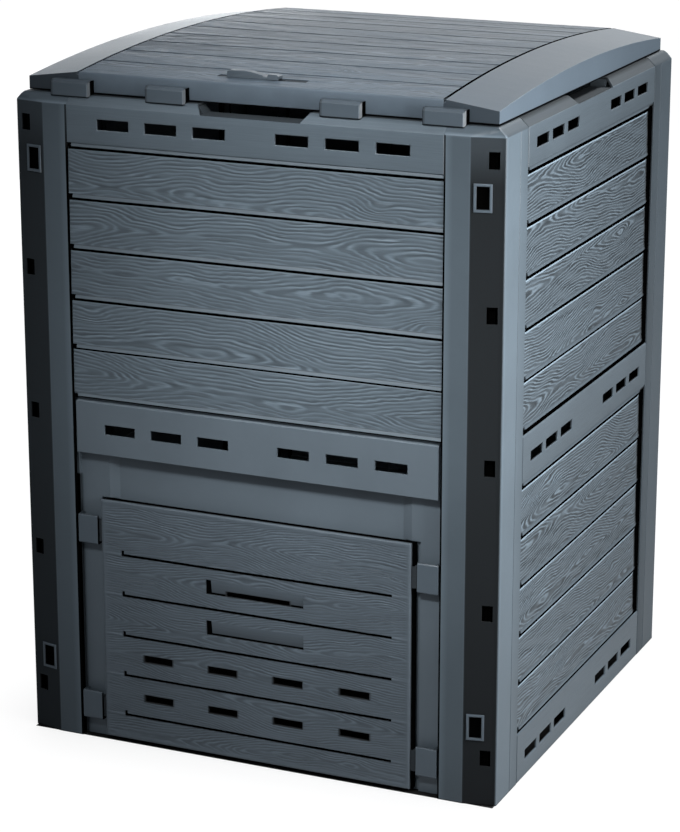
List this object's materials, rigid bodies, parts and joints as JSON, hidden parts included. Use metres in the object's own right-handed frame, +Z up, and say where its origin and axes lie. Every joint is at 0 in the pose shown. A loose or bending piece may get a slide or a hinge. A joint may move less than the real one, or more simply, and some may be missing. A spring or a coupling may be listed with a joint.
{
  "type": "compost bin with lid",
  "caption": "Square garden compost bin of plastic wood-look panels between hollow corner posts, with an arched hinged lid, vent slots and a lift-up hatch at the foot.",
  "frame": {"origin": "middle of the bin's square foot, on the ground", "axes": "+Z up, -Y out of the front with the hatch, +X to the right seen from the front"},
  "size_m": [0.72, 0.722, 0.985],
  "materials": {
    "wall": "satin wood-grain",
    "light": "satin wood-grain",
    "post": "fine matt texture",
    "fitting": "satin"
  },
  "bodies": {
    "bin": {"post_front_left": "post", "lock_plug_front_left_lower": "fitting", "lock_plug_front_left_upper": "fitting", "post_front_right": "post", "lock_plug_front_right_lower": "fitting", "lock_plug_front_right_upper": "fitting", "post_back_left": "post", "lock_plug_back_left_lower": "fitting", "lock_plug_back_left_upper": "fitting", "post_back_right": "post", "lock_plug_back_right_lower": "fitting", "lock_plug_back_right_upper": "fitting", "panel_front_upper": "wall", "hatch_frame": "wall", "panel_back_upper": "wall", "panel_back_lower": "wall", "panel_left_upper": "wall", "panel_left_lower": "wall", "panel_right_upper": "wall", "panel_right_lower": "wall", "hatch_keeper_left_lower": "fitting", "hatch_keeper_left_upper": "fitting", "hatch_keeper_right_lower": "fitting", "hatch_keeper_right_upper": "fitting", "hinge_pin_1": "fitting", "hinge_pin_2": "fitting", "hinge_pin_3": "fitting", "hinge_pin_4": "fitting"},
    "lid": {"lid_panel": "light", "lid_rail_left": "wall", "lid_rail_right": "wall", "lid_clip_1": "fitting", "hinge_knuckle_1": "fitting", "lid_clip_2": "fitting", "hinge_knuckle_2": "fitting", "lid_clip_3": "fitting", "hinge_knuckle_3": "fitting", "lid_clip_4": "fitting", "hinge_knuckle_4": "fitting"},
    "hatch": {"hatch_door": "light"},
    "catch": {"lid_catch": "fitting"}
  },
  "joints": [
    {"name": "lid_hinge", "type": "hinge", "parent": "bin", "child": "lid", "pos_m": [0, 0.3515, 0.9465], "axis": [-1, 0, 0], "range_deg": [0, 100]},
    {"name": "hatch_lift", "type": "slide", "parent": "bin", "child": "hatch", "axis": [0, 0, 1], "range_m": [0, 0.065]},
    {"name": "catch_slide", "type": "slide", "parent": "lid", "child": "catch", "axis": [1, 0, 0], "range_m": [0, 0.04]}
  ]
}
